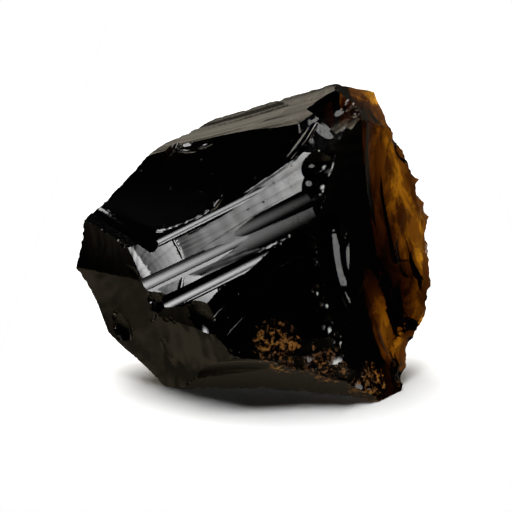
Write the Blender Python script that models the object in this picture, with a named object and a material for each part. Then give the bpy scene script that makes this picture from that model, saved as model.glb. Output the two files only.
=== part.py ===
"""A chunk of obsidian, broken out of a flow of volcanic glass.

The chunk is one solid, made the way the real one was: a rough block loses one
flake after another. Each flake leaves a scar, a shallow dish that meets its
neighbours in sharp ridges. Smaller bites and edge chips come last.
Lengths are in millimetres and angles in degrees until a mesh is made.
"""

from math import ceil, cos, log2, radians, sin
from random import Random
from typing import NamedTuple

import bmesh
import bpy
from mathutils import Matrix, Vector

MM = 0.001
BLOCK = 90.0  # edge of the rough block, larger than the finished chunk
BLOCK_CENTRE = (0.0, 0.0, 45.0)
REST = (0.045, 0.314, 0.0)  # brings the middle of the finished chunk over the origin

SCAR_PITCH = 2.6  # facet size in the broad scars
SCAR_REACH = 60.0  # no scar runs further than this from its deepest point
WASTE_HEIGHT = 100.0  # how far each cutter reaches out of the block
BITE_FACETS = 5.0  # across the width of a bite, at the least

CHIP_SPACING = 2.9  # between the middles of neighbouring chips on a bruised edge
CHIP_RADIUS = (1.8, 3.6)
CHIP_DEPTH = (0.35, 0.8)
CHIP_SEED = 11

GLASS = (0.010, 0.008, 0.006, 1.0)  # black where the glass is thick
GLASS_ROUGHNESS = 0.05
GLASS_IOR = 1.5


class Scar(NamedTuple):
    """One broad flake scar: where its floor lies, how it faces, how hollow it is."""

    name: str
    at: tuple  # the deepest point of the dish
    azimuth: float  # 0 faces the front (-Y), 90 faces +X
    rise: float  # above the horizon
    along: float  # radius of the hollow along the blow
    across: float  # radius of the hollow across the blow
    blow: float = 0.0  # how far the blow runs up from the horizontal


class Bite(NamedTuple):
    """One small flake scar, oval in outline, struck out of a face or a ridge."""

    name: str
    at: tuple  # a point on the face before the bite
    azimuth: float
    rise: float
    length: float  # of the oval, along the blow
    width: float
    depth: float
    blow: float = 0.0


SCARS = (
    Scar("top", (0.4, 8.8, 50.2), -53, 63, 900, 900, 45),
    Scar("upper_left", (-10.1, 0.3, 40.3), -29, 47, 150, 150, 30),
    Scar("band", (-6.2, -9.9, 31.5), -16, 35, 260, 90, 32),
    Scar("band_top", (14.7, -2.6, 49.8), -22, 51, 90, 60, 50),
    Scar("front", (4.9, -15.1, 20.3), 5, 13, 130, 130, 30),
    Scar("right", (22.3, -3.6, 23.9), 44, 16, 130, 90, 80),
    Scar("apex", (23.8, 8.3, 51.1), 62, 34, 60, 60),
    Scar("tip", (19.2, 7.3, 54.4), 49, 65, 60, 60),
    Scar("left_shoulder", (-26.5, -5.6, 26.1), -44, 6, 60, 60),
    Scar("lower_left", (-26.4, -5.8, 17.3), -42, -3, 70, 70, -50),
    Scar("lower_left_heel", (-21.4, -8.1, 6.9), -33, -14, 70, 70, -50),
    Scar("lower_front", (-11.9, -14.2, 10.6), -26, -17, 80, 80),
    Scar("undercut", (3.3, -15.2, 6.4), -7, -41, 100, 60),
    Scar("band_foot", (-14.4, -15.0, 19.6), -20, 3, 50, 50),
    Scar("back_top", (2.8, 11.3, 52.0), -178, 33, 900, 900),
    Scar("back_upper_left", (-13.0, 14.1, 40.0), -162, 14, 160, 160),
    Scar("back_left", (-28.6, 4.5, 29.4), -143, 6, 250, 250),
    Scar("back_right", (23.9, 10.8, 43.2), 165, 0, 60, 120),
    Scar("back_mid_right", (29.8, 10.5, 24.2), 159, -12, 60, 80),
    Scar("back", (4.7, 13.5, 20.6), 177, -13, 120, 120),
    Scar("back_low_right", (23.6, 7.4, 11.8), 150, -36, 60, 60),
    Scar("right_foot", (28.2, -4.1, 2.9), 109, -44, 60, 60),
    Scar("left_side", (-29.4, 1.5, 14.9), -127, -32, 80, 80),
    Scar("left_foot", (-18.1, -1.9, 4.4), -135, -50, 100, 100),
)

BITES = (
    Bite("upper_left_hollow", (-19.5, 3.0, 39.0), -26, 48, 34, 30, 1.1, 30),
    Bite("left_corner_flake", (-27.6, -1.2, 32.6), -28, 58, 15, 8, 0.45, -25),
    Bite("left_top_flake", (-13.9, 6.8, 44.2), -26, 50, 11, 6, 0.8, 20),
    Bite("notch_upper", (11.8, -6.8, 44.3), 10, 30, 8, 6, 1.2, 60),
    Bite("notch_lower", (11.8, -9.6, 40.6), 12, 22, 9, 6, 1.3, 75),
    Bite("tip_chip_left", (16.6, 3.6, 54.0), -10, 45, 6, 4, 0.9),
    Bite("tip_chip_right", (18.4, 1.6, 53.0), 10, 40, 5, 4, 0.8, 40),
    Bite("right_rim_upper", (24.2, 2.6, 39.8), 48, 10, 26, 12, 1.0, 80),
    Bite("right_rim_middle", (29.8, 2.0, 23.2), 48, 18, 16, 10, 1.0, 70),
    Bite("right_rim_lower", (26.6, -7.6, 9.0), 50, 24, 16, 9, 1.0, 100),
    Bite("right_edge_knock", (35.5, 6.8, 22.8), 102, -4, 8, 6, 0.4, 90),
    Bite("right_leaf", (17.0, -8.6, 25.4), 40, 22, 9, 3.5, 0.45, 80),
    Bite("front_corner_upper", (13.9, -17.0, 11.3), -8, 10, 8, 6, 0.9, 20),
    Bite("front_corner_lower", (14.8, -17.8, 7.2), -2, -18, 9, 6, 1.1, 10),
    Bite("front_corner_right", (19.0, -17.0, 5.6), 28, -4, 7, 6, 1.0),
    Bite("front_foot_left", (8.3, -17.8, 9.3), -2, -14, 8, 5, 0.9, 15),
    Bite("band_foot_left", (-18.8, -13.5, 20.4), -28, -4, 6, 4, 0.6, 20),
    Bite("band_foot_right", (-10.9, -16.4, 18.4), -8, 8, 6, 4.5, 0.7, -60),
    Bite("left_notch", (-26.0, -6.2, 12.0), -48, -10, 7, 5, 1.1, -60),
    Bite("left_edge_upper", (-32.0, -2.0, 15.4), -60, -14, 13, 5, 0.7, -60),
    Bite("left_edge_lower", (-26.8, -6.0, 7.2), -56, -28, 9, 5, 0.7, -50),
    Bite("back_shoulder_flake", (-9.0, 16.0, 34.0), -166, 8, 26, 18, 1.4, 20),
    Bite("back_middle_flake", (6.0, 16.0, 27.0), 170, -4, 30, 26, 1.8, 60),
    Bite("back_low_flake", (-10.0, 10.5, 15.0), -160, -16, 26, 20, 1.6, 40),
    Bite("back_right_hollow", (20.6, 11.6, 41.0), 168, -4, 28, 17, 3.2, 80),
    Bite("back_foot_hollow", (26.0, -0.6, 5.2), 136, -38, 15, 10, 2.2, 20),
    Bite("back_crescent_hollow", (22.0, 3.0, 7.5), -170, -20, 28, 14, 7.5, 75),
    Bite("back_edge_flake", (20.0, 11.4, 25.0), 160, -8, 20, 15, 1.4, 30),
    Bite("back_heel_flake", (12.0, 9.0, 6.0), 165, -30, 16, 12, 1.2),
    Bite("top_flake", (-5.0, 9.8, 48.2), -58, 64, 26, 7, 0.4, 47),
)

# Edges bruised by small chips: points along the edge, then the way it faces outwards.
BRUISED_EDGES = {
    "right_edge": (
        ((25.6, 9.6, 50.5), (31.2, 8.6, 38.9), (34.7, 7.9, 27.3), (35.5, 3.9, 15.6),
         (32.8, -0.4, 9.2), (30.3, -5.4, 6.0), (27.2, -11.4, 1.8)),
        (102, -4),
    ),
    "front_ridge": (
        ((12.2, -11.6, 34.0), (12.0, -12.8, 30.4), (13.0, -14.3, 24.0),
         (14.6, -15.6, 17.3), (16.2, -17.2, 11.5)),
        (24, 14),
    ),
}  # fmt: skip


def facing_frame(at, azimuth, rise, blow):
    """A frame whose Z axis points the way a scar faces and whose X axis follows the blow."""
    az, up, turn = radians(azimuth), radians(rise), radians(blow)
    facing = Vector((sin(az) * cos(up), -cos(az) * cos(up), sin(up)))
    level = Vector((cos(az), sin(az), 0.0))
    climb = facing.cross(level)
    x_axis = level * cos(turn) + climb * sin(turn)
    y_axis = facing.cross(x_axis)
    frame = Matrix((x_axis, y_axis, facing)).transposed().to_4x4()
    frame.translation = Vector(at)
    return frame


def new_object(name, bm, collection):
    bmesh.ops.scale(bm, vec=(MM, MM, MM), verts=bm.verts)
    mesh = bpy.data.meshes.new(name)
    bm.to_mesh(mesh)
    bm.free()
    made = bpy.data.objects.new(name, mesh)
    made.location = Vector(REST) * MM
    collection.objects.link(made)
    return made


def waste_of_scar(scar, collection):
    """The waste a broad scar took away: a dished face below, flat on top."""
    half = min(SCAR_REACH, 1.1 * min(scar.along, scar.across))
    steps = ceil(2 * half / SCAR_PITCH)
    bm = bmesh.new()
    bmesh.ops.create_grid(bm, x_segments=steps, y_segments=steps, size=half)
    for v in bm.verts:
        v.co.z = v.co.x**2 / (2 * scar.along) + v.co.y**2 / (2 * scar.across)
    floor = list(bm.faces)
    lifted = bmesh.ops.extrude_face_region(bm, geom=floor)["geom"]
    for v in lifted:
        if isinstance(v, bmesh.types.BMVert):
            v.co.z = WASTE_HEIGHT
    bmesh.ops.recalc_face_normals(bm, faces=bm.faces)
    frame = facing_frame(scar.at, scar.azimuth, scar.rise, scar.blow)
    bmesh.ops.transform(bm, matrix=frame, verts=bm.verts)
    return new_object(scar.name, bm, collection)


def waste_of_bite(bite, collection):
    """A ball, stretched along the blow, sunk in as deep as the bite."""
    half = bite.width / 2
    radius = (half**2 + bite.depth**2) / (2 * bite.depth)
    finer = ceil(log2(BITE_FACETS * radius / bite.width))
    bm = bmesh.new()
    bmesh.ops.create_icosphere(bm, subdivisions=1 + finer, radius=radius)
    stretch = Matrix.Diagonal((bite.length / bite.width, 1.0, 1.0, 1.0))
    sunk = Matrix.Translation((0.0, 0.0, radius - bite.depth))
    frame = facing_frame(bite.at, bite.azimuth, bite.rise, bite.blow)
    bmesh.ops.transform(bm, matrix=frame @ sunk @ stretch, verts=bm.verts)
    return new_object(bite.name, bm, collection)


def waste_of_chip(name, at, facing, radius, depth, collection):
    bm = bmesh.new()
    centre = at + facing * (radius - depth)
    bmesh.ops.create_icosphere(
        bm, subdivisions=3, radius=radius, matrix=Matrix.Translation(centre)
    )
    return new_object(name, bm, collection)


def along_edge(points, spacing):
    """Points about one spacing apart along a line with corners."""
    for start, end in zip(points, points[1:]):
        start, end = Vector(start), Vector(end)
        count = max(1, round((end - start).length / spacing))
        for i in range(count):
            yield start.lerp(end, i / count)


def knap(chunk, waste):
    blow = chunk.modifiers.new(waste.name, "BOOLEAN")
    blow.operation = "DIFFERENCE"
    blow.solver = "EXACT"
    blow.object = waste
    waste.hide_render = True
    waste.display_type = "WIRE"


def bruise(chunk, collection):
    """Small chips all along the bruised edges, no two alike."""
    rng = Random(CHIP_SEED)
    for edge, (points, (azimuth, rise)) in BRUISED_EDGES.items():
        for i, at in enumerate(along_edge(points, CHIP_SPACING)):
            turn = rng.uniform(-34, 34)
            tip = rng.uniform(-22, 22)
            facing = facing_frame(at, azimuth + turn, rise + tip, 0).col[2].to_3d()
            radius = rng.uniform(*CHIP_RADIUS)
            depth = rng.uniform(*CHIP_DEPTH)
            name = f"{edge}_chip_{i + 1}"
            knap(chunk, waste_of_chip(name, at, facing, radius, depth, collection))


def glass():
    material = bpy.data.materials.new("obsidian_glass")
    material.use_nodes = True
    surface = material.node_tree.nodes["Principled BSDF"]
    surface.inputs["Base Color"].default_value = GLASS
    surface.inputs["Roughness"].default_value = GLASS_ROUGHNESS
    surface.inputs["Metallic"].default_value = 0.0
    surface.inputs["IOR"].default_value = GLASS_IOR
    return material


def main():
    for old in list(bpy.data.objects):
        bpy.data.objects.remove(old)
    parts = bpy.data.collections.new("obsidian_chunk")
    flakes = bpy.data.collections.new("flakes")
    bpy.context.scene.collection.children.link(parts)
    bpy.context.scene.collection.children.link(flakes)

    bm = bmesh.new()
    bmesh.ops.create_cube(bm, size=BLOCK, matrix=Matrix.Translation(BLOCK_CENTRE))
    chunk = new_object("obsidian_chunk", bm, parts)
    chunk.data.materials.append(glass())
    for scar in SCARS:
        knap(chunk, waste_of_scar(scar, flakes))
    for bite in BITES:
        knap(chunk, waste_of_bite(bite, flakes))
    bruise(chunk, flakes)


main()
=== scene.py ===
"""A chunk of obsidian: black volcanic glass, amber where it is thin, on a pale table.

The chunk is knapped as the real one was. A rough block loses one flake after another,
and every flake leaves a dished scar with the ripples and the fine radiating steps that
glass breaks with. Lengths are in millimetres and angles in degrees until a mesh is made.
"""

from functools import partial
from math import ceil, cos, pi, radians, sin, tan
from random import Random
from typing import NamedTuple

import bmesh
import bpy
import numpy as np
from mathutils import Matrix, Vector
from mathutils.bvhtree import BVHTree


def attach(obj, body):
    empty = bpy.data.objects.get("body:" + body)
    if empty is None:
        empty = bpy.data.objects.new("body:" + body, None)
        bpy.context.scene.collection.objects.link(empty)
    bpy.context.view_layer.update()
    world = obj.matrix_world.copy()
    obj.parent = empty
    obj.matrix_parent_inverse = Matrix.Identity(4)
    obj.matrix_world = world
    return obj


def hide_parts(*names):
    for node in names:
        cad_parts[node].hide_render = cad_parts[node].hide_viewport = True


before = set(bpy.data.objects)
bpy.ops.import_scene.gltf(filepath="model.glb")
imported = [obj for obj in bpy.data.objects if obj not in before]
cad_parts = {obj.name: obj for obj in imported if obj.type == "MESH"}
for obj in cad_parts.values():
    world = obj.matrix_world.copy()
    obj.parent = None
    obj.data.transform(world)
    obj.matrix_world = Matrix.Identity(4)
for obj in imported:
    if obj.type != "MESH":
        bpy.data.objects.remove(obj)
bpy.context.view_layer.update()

MM = 0.001


# --- The camera ---------------------------------------------------------------------
# A long lens on the middle of the chunk, looking down on it a little from the front.

VIEW_TARGET = (0.045, 0.314, 24.0)
VIEW_RISE = 22.0
VIEW_DISTANCE = 334.6
LENS = 120.0
SENSOR = 36.0


def facing(azimuth, rise):
    """The way something faces. Azimuth 0 is the front (-Y) and 90 is +X."""
    az, up = radians(azimuth), radians(rise)
    return Vector((sin(az) * cos(up), -cos(az) * cos(up), sin(up)))


def look_from(made, target, azimuth, rise, distance):
    """Puts a lamp or a camera that far from the target and turns it to look at it."""
    away = facing(azimuth, rise)
    made.location = (Vector(target) + away * distance) * MM
    made.rotation_euler = away.to_track_quat("Z", "Y").to_euler()
    bpy.context.scene.collection.objects.link(made)


camera_data = bpy.data.cameras.new("camera")
camera_data.lens = LENS
camera_data.sensor_width = SENSOR
camera_data.clip_start = 0.01
camera = bpy.data.objects.new("camera", camera_data)
look_from(camera, VIEW_TARGET, 0.0, VIEW_RISE, VIEW_DISTANCE)
bpy.context.scene.camera = camera


# --- The chunk: the scars and the bites -----------------------------------------------
# One solid of volcanic glass. The big scars give the faces and, where two meet, the
# sharp ridges between them. The bites are small flakes struck out of faces and ridges.

REST = (0.045, 0.314, 0.0)  # brings the middle of the finished chunk over the origin
BLOCK = 90.0  # edge of the rough block
BLOCK_CENTRE = (0.0, 0.0, 45.0)
WASTE_REACH = 60.0  # how far a cutter goes on past the face that it leaves
WASTE_HEIGHT = 100.0
FRONT_CELL = 0.34  # cells of the faces that the front view shows
BACK_CELL = 0.62
FACE_MARGIN = 1.2  # fine cells go on this far past the face's ridges
FACE_TOLERANCE = 0.035  # a point this near a scar's floor lies on it
BORDER_CELLS = 5  # coarse cells on each side, out to the reach


class Scar(NamedTuple):
    """One broad flake scar: where its floor lies, how it faces, how hollow it is."""

    name: str
    at: tuple  # the deepest point of the dish
    azimuth: float
    rise: float  # above the horizon
    along: float  # radius of the hollow along the blow
    across: float  # radius of the hollow across the blow
    blow: float = 0.0  # how far the blow runs up from the horizontal
    struck: float = -40.0  # how far along the blow the ripples start
    ripple: float = 0.02  # height of the ripples
    spacing: float = 3.0  # between ripples
    hackle: float = 0.01  # height of the fine steps that radiate from the blow
    swell: float = 0.1  # height of the broad unevenness
    spokes: float = 14.0  # hackles per radian round the blow
    cells: tuple = ()  # cell sizes along and across, where they aren't the usual ones


class Bite(NamedTuple):
    """One small flake scar, oval in outline, struck out of a face or a ridge."""

    name: str
    at: tuple  # a point on the face before the bite
    azimuth: float
    rise: float
    length: float  # of the oval, along the blow
    width: float
    depth: float
    blow: float = 0.0
    hackle: float = 0.02  # height of its fine steps, against its depth
    spokes: float = 14.0


SCARS = (
    Scar("top", (0.4, 8.8, 50.2), -53, 63, 900, 900, 45, -70, 0.01, 3.0, 0.40, 0.12, 34, (0.6, 0.25)),
    Scar("upper_left", (-10.1, 0.3, 40.3), -29, 47, 150, 150, 30),
    Scar("band", (-6.2, -9.9, 31.5), -16, 35, 260, 90, 32, -90, 0.005, 3.0, 0.22, 0.12, 45, (0.5, 0.2)),
    Scar("band_top", (14.7, -2.6, 49.8), -22, 51, 90, 60, 50),
    Scar("front", (4.9, -15.1, 20.3), 5, 13, 130, 130, 30),
    Scar("right", (22.3, -3.6, 23.9), 44, 16, 130, 90, 80),
    Scar("apex", (23.8, 8.3, 51.1), 62, 34, 60, 60),
    Scar("tip", (19.2, 7.3, 54.4), 49, 65, 60, 60),
    Scar("left_shoulder", (-26.5, -5.6, 26.1), -44, 6, 60, 60),
    Scar("lower_left", (-26.4, -5.8, 17.3), -42, -3, 70, 70, -50),
    Scar("lower_left_heel", (-21.4, -8.1, 6.9), -33, -14, 70, 70, -50),
    Scar("lower_front", (-11.9, -14.2, 10.6), -26, -17, 80, 80),
    Scar("undercut", (3.3, -15.2, 6.4), -7, -41, 100, 60),
    Scar("band_foot", (-14.4, -15.0, 19.6), -20, 3, 50, 50),
    Scar("back_top", (2.8, 11.3, 52.0), -178, 33, 900, 900),
    Scar("back_upper_left", (-13.0, 14.1, 40.0), -162, 14, 160, 160),
    Scar("back_left", (-28.6, 4.5, 29.4), -143, 6, 250, 250),
    Scar("back_right", (23.9, 10.8, 43.2), 165, 0, 60, 120),
    Scar("back_mid_right", (29.8, 10.5, 24.2), 159, -12, 60, 80),
    Scar("back", (4.7, 13.5, 20.6), 177, -13, 120, 120),
    Scar("back_low_right", (23.6, 7.4, 11.8), 150, -36, 60, 60),
    Scar("right_foot", (28.2, -4.1, 2.9), 109, -44, 60, 60),
    Scar("left_side", (-29.4, 1.5, 14.9), -127, -32, 80, 80),
    Scar("left_foot", (-18.1, -1.9, 4.4), -135, -50, 100, 100),
)

BITES = (
    Bite("upper_left_hollow", (-19.5, 3.0, 39.0), -26, 48, 34, 30, 1.1, 30),
    Bite("left_corner_flake", (-27.6, -1.2, 32.6), -28, 58, 15, 8, 0.45, -25),
    Bite("left_top_flake", (-13.9, 6.8, 44.2), -26, 50, 11, 6, 0.8, 20),
    Bite("notch_upper", (11.8, -6.8, 44.3), 10, 30, 8, 6, 1.2, 60),
    Bite("notch_lower", (11.8, -9.6, 40.6), 12, 22, 9, 6, 1.3, 75),
    Bite("tip_chip_left", (16.6, 3.6, 54.0), -10, 45, 6, 4, 0.9),
    Bite("tip_chip_right", (18.4, 1.6, 53.0), 10, 40, 5, 4, 0.8, 40),
    Bite("right_rim_upper", (24.2, 2.6, 39.8), 48, 10, 26, 12, 1.0, 80),
    Bite("right_rim_middle", (29.8, 2.0, 23.2), 48, 18, 16, 10, 1.0, 70),
    Bite("right_rim_lower", (26.6, -7.6, 9.0), 50, 24, 16, 9, 1.0, 100),
    Bite("right_edge_knock", (35.5, 6.8, 22.8), 102, -4, 8, 6, 0.4, 90),
    Bite("right_leaf", (17.0, -8.6, 25.4), 40, 22, 9, 3.5, 0.45, 80),
    Bite("front_corner_upper", (13.9, -17.0, 11.3), -8, 10, 8, 6, 0.9, 20),
    Bite("front_corner_lower", (14.8, -17.8, 7.2), -2, -18, 9, 6, 1.1, 10),
    Bite("front_corner_right", (19.0, -17.0, 5.6), 28, -4, 7, 6, 1.0),
    Bite("front_foot_left", (8.3, -17.8, 9.3), -2, -14, 8, 5, 0.9, 15),
    Bite("band_foot_left", (-18.8, -13.5, 20.4), -28, -4, 6, 4, 0.6, 20),
    Bite("band_foot_right", (-10.9, -16.4, 18.4), -8, 8, 6, 4.5, 0.7, -60),
    Bite("left_notch", (-26.0, -6.2, 12.0), -48, -10, 7, 5, 1.1, -60),
    Bite("left_edge_upper", (-32.0, -2.0, 15.4), -60, -14, 13, 5, 0.7, -60),
    Bite("left_edge_lower", (-26.8, -6.0, 7.2), -56, -28, 9, 5, 0.7, -50),
    Bite("back_shoulder_flake", (-9.0, 16.0, 34.0), -166, 8, 26, 18, 1.4, 20),
    Bite("back_middle_flake", (6.0, 16.0, 27.0), 170, -4, 30, 26, 1.8, 60),
    Bite("back_low_flake", (-10.0, 10.5, 15.0), -160, -16, 26, 20, 1.6, 40),
    Bite("back_right_hollow", (20.6, 11.6, 41.0), 168, -4, 28, 17, 3.2, 80),
    Bite("back_foot_hollow", (26.0, -0.6, 5.2), 136, -38, 15, 10, 2.2, 20),
    Bite("back_crescent_hollow", (22.0, 3.0, 7.5), -170, -20, 28, 14, 7.5, 75),
    Bite("back_edge_flake", (20.0, 11.4, 25.0), 160, -8, 20, 15, 1.4, 30),
    Bite("back_heel_flake", (12.0, 9.0, 6.0), 165, -30, 16, 12, 1.2),
    Bite("top_flake", (-5.0, 9.8, 48.2), -58, 64, 26, 7, 0.4, 47),
)

# Late flakes, too slight to count in the chunk's form. Their places are snapped to its surface.
LATE_BITES = (
    # The long band: flutes along it, the fan at its left end and glints at its foot.
    Bite("band_flute", (1.2, -11.7, 32.2), -18, 37.5, 38, 3.6, 0.09, 33),
    Bite("band_flute_low", (0.8, -13.2, 28.9), -19, 32, 32, 1.6, 0.07, 34),
    Bite("band_flute_top", (-0.6, -6.2, 39.0), -19, 33, 27, 1.2, 0.06, 34),
    Bite("band_flute_middle", (-1.0, -10.4, 31.9), -18, 35, 38, 1.5, 0.04, 33),
    Bite("band_flute_upper", (-2.6, -9.6, 32.6), -16, 36, 30, 1.8, 0.04, 33),
    Bite("band_fan", (-19.4, -9.9, 26.6), -13, 35.5, 11, 17, 0.22, 41, 0.5, 8),
    Bite("band_fan_edge", (-20.8, -10.9, 25.2), -18, 32, 6, 17, 0.30, 41, 0.45, 8),
    Bite("band_bar", (-13.7, -12.4, 25.0), -18, 32, 7, 1.3, 0.15, 90),
    Bite("band_foot_glint", (-11.0, -13.9, 23.2), -20, 30, 5, 2.4, 0.25, 35),
    # The notch and the tip at the band's upper end.
    Bite("notch_floor", (11.9, -7.8, 41.2), -16, 31, 5.5, 5, 1.0, 70),
    Bite("notch_ledge", (12.3, -5.6, 44.4), -16, 32, 4.6, 3.4, 0.8, 30),
    Bite("notch_edge", (10.7, -0.4, 50.5), -20, 31, 9, 1.8, 0.45, 66),
    Bite("tip_glint_1", (17.2, 3.9, 53.7), -26, 43, 6, 4.4, 0.25, 60, 0.9, 7),
    Bite("tip_glint_2", (18.2, 2.6, 52.6), -24, 42, 4.4, 3.2, 0.35, 100, 0.6, 7),
    Bite("tip_glint_3", (18.4, 4.4, 53.9), -17, 27, 3.4, 2.2, 0.55, 40),
    Bite("tip_glint_4", (15.0, 2.4, 52.6), -21, 27, 3.0, 1.6, 0.40, 20),
    Bite("tip_glint_5", (13.2, 0.6, 51.6), -20, 30, 2.6, 1.6, 0.50, 10),
    Bite("tip_glint_6", (18.8, 2.8, 52.0), -21, 27, 2.0, 1.3, 0.30, 10),
    # The left shoulder and the foot below it.
    Bite("shoulder_flake", (-25.0, -1.2, 31.8), -28, 40, 12, 2.6, 0.06, -20),
    Bite("hook_left", (-15.6, 9.6, 43.9), -18, 31, 3.2, 1.3, 0.30, 70),
    Bite("hook_right", (-10.2, 6.6, 44.8), -18, 31, 3.0, 1.4, 0.30, 20),
    Bite("hook_below", (-13.9, 7.2, 43.5), -20, 29, 3.4, 1.0, 0.22, 5),
    Bite("foot_flake_left", (-2.0, -14.9, 7.0), -10, -30, 13, 5, 0.4, 10),
    # The face right of the front ridge.
    Bite("leaf_glint", (15.7, -9.0, 25.2), 21, 20, 12.5, 4.6, 0.35, 96),
    Bite("leaf_below", (17.6, -10.4, 19.6), 22, 20, 5.0, 1.6, 0.20, 110),
    Bite("ridge_glint_1", (10.9, -13.4, 22.4), 24, 18, 2.2, 1.4, 0.35, 80),
    Bite("ridge_glint_2", (12.6, -14.0, 19.8), 26, 20, 2.6, 1.6, 0.40, 60),
    Bite("ridge_glint_3", (13.0, -15.0, 15.6), 28, 18, 3.4, 1.8, 0.45, 70),
    Bite("ridge_glint_4", (15.0, -15.6, 13.0), 30, 16, 2.8, 1.8, 0.40, 50),
    # The back of the thin right edge, which shows through the glass as streaks.
    Bite("back_streak_1", (20.5, 12.6, 39.0), 168, -2, 24, 3.6, 0.55, 84),
    Bite("back_streak_2", (23.6, 12.0, 37.5), 160, -4, 22, 3.0, 0.50, 80),
    Bite("back_streak_3", (26.2, 11.2, 36.0), 172, -6, 20, 2.6, 0.45, 76),
    Bite("back_streak_4", (28.6, 10.4, 33.5), 158, -8, 18, 2.8, 0.45, 82),
    Bite("back_streak_5", (30.8, 9.6, 28.0), 166, -10, 15, 2.6, 0.40, 90),
    Bite("back_scoop_1", (22.5, 12.0, 46.5), 176, 10, 7, 5.0, 0.60, 40),
    Bite("back_scoop_2", (27.0, 10.6, 43.0), 150, 4, 6, 4.0, 0.50, 120),
    Bite("back_scoop_3", (30.5, 9.2, 22.0), 150, -14, 8, 5.0, 0.60, 60),
    Bite("back_scoop_4", (32.6, 6.8, 15.0), 140, -20, 7, 4.4, 0.55, 100),
)


def scar_frame(at, azimuth, rise, blow):
    """A frame whose Z axis points the way a scar faces and whose X axis follows the blow."""
    turn = radians(blow)
    outward = facing(azimuth, rise)
    level = Vector((cos(radians(azimuth)), sin(radians(azimuth)), 0.0))
    climb = outward.cross(level)
    x_axis = level * cos(turn) + climb * sin(turn)
    y_axis = outward.cross(x_axis)
    placed = Matrix((x_axis, y_axis, outward)).transposed().to_4x4()
    placed.translation = Vector(at) + Vector(REST)
    return placed


# --- The chunk: its glass ----------------------------------------------------------------
# Clear brown glass, so deep in colour that anything thicker than a few millimetres is black.
# Smoky veins run up and down through it. Along the thin right edge its colour is darkened
# further, a painted shade for the dark rim that the edge's steep chips give by turning light
# back inside. It is almost black at the left, and flecked with brown and amber at the foot of its
# front.

GLASS_IOR = 1.5
GLASS_ROUGHNESS = 0.03
GLASS_TINT = (0.90, 0.42, 0.03, 1.0)
SMOKE_TINT = (0.15, 0.052, 0.009, 1.0)
LEFT_TINT = (0.016, 0.009, 0.004, 1.0)
ABSORPTION_DENSITY = 1000.0  # per metre
ABSORPTION_COLOUR = (0.55, 0.45, 0.25, 1.0)
SMOKE_STRETCH = (1.0, 1.0, 0.38)  # the veins run up and down
SMOKE_NOISE = {"Scale": 230.0, "Detail": 5.0, "Roughness": 0.62, "Distortion": 0.8}
SMOKE_SPAN = (0.43, 0.56)  # noise at which the smoke starts and is full
LEFT_SMOKE = (0.010, 0.002)  # metres across: clear right of the first, smoky left of the second
# Painted shade along the thin right edge: the glass is made smokier there, for the dark rim that the
# edge's steep chips give by turning light back inside.
RIM_PAINTED_SHADE = (0.0035, 0.0008)  # metres from the right edge: clear at the first, full at the second
RIM_SHADE_EXTRA = 0.16  # added to the noise right at the edge
FLECK_NOISE = {"Scale": 1050.0, "Detail": 4.0, "Roughness": 0.7}
FLECK_SPAN = (0.47, 0.66)  # noise at which a fleck starts and is full
FLECK_PALE = (0.42, 0.17, 0.018, 1.0)
FLECK_BROWN = (0.14, 0.055, 0.012, 1.0)
FLECK_ROUGHNESS = 0.4
FLECK_CORE = 0.3  # share of a patch's reach within which the flecks are at their thickest
FLECK_PATCHES = (  # middles, in metres, and how far the flecks reach
    ((0.0040, -0.0168, 0.0130), 0.0105),
    ((0.0130, -0.0160, 0.0080), 0.0100),
    ((0.0215, -0.0140, 0.0030), 0.0090),
    ((0.0050, -0.0165, 0.0080), 0.0065),
)

glass = bpy.data.materials.new("obsidian_glass")
glass.use_nodes = True
shader = glass.node_tree
surface = shader.nodes["Principled BSDF"]
surface.inputs["Roughness"].default_value = GLASS_ROUGHNESS
surface.inputs["IOR"].default_value = GLASS_IOR
surface.inputs["Transmission Weight"].default_value = 1.0


def plug_in(tree, socket, value):
    """Links the socket to another one, or gives it a plain value."""
    if isinstance(value, bpy.types.NodeSocket):
        tree.links.new(value, socket)
    else:
        socket.default_value = value


def node_in(tree, kind, values=(), **settings):
    """A new node, with the values in its first sockets."""
    node = tree.nodes.new(kind)
    for name, setting in settings.items():
        setattr(node, name, setting)
    for socket, value in zip(node.inputs, values):
        plug_in(tree, socket, value)
    return node


def maths_in(tree, operation, *values):
    return node_in(tree, "ShaderNodeMath", values, operation=operation).outputs[0]


def noise_in(tree, at, sizes):
    node = node_in(tree, "ShaderNodeTexNoise", (at,))
    for name, size in sizes.items():
        node.inputs[name].default_value = size
    return node.outputs[0]


def ramp_in(tree, value, span, ends=(0.0, 1.0)):
    """Goes softly from one end to the other while the value crosses the span."""
    values = (value, *span, *ends)
    node = node_in(tree, "ShaderNodeMapRange", values, interpolation_type="SMOOTHSTEP")
    return node.outputs["Result"]


def mix_in(tree, factor, a, b):
    node = node_in(tree, "ShaderNodeMix", data_type="RGBA")
    for name, value in (("Factor", factor), ("A", a), ("B", b)):
        plug_in(tree, node.inputs[name], value)
    return node.outputs["Result"]


where = node_in(shader, "ShaderNodeTexCoord").outputs["Object"]
stretch = node_in(shader, "ShaderNodeMapping", (where,))
stretch.inputs["Scale"].default_value = SMOKE_STRETCH
veins = noise_in(shader, stretch.outputs[0], SMOKE_NOISE)
# The smoke mask is the veins, which are the glass's own tone, plus a painted shade near the right edge
# that darkens the tint there and browns the flecks.
edge = node_in(shader, "ShaderNodeAttribute", attribute_name="from_rim").outputs["Fac"]
veins_and_rim_shade = maths_in(shader, "ADD", veins, ramp_in(shader, edge, RIM_PAINTED_SHADE, (0.0, RIM_SHADE_EXTRA)))
smoke_and_rim_shade = ramp_in(shader, veins_and_rim_shade, SMOKE_SPAN)
tint = mix_in(shader, smoke_and_rim_shade, GLASS_TINT, SMOKE_TINT)
place = node_in(shader, "ShaderNodeSeparateXYZ", (where,))
left = ramp_in(shader, place.outputs["X"], LEFT_SMOKE)
shader.links.new(mix_in(shader, left, tint, LEFT_TINT), surface.inputs["Base Color"])

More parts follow.
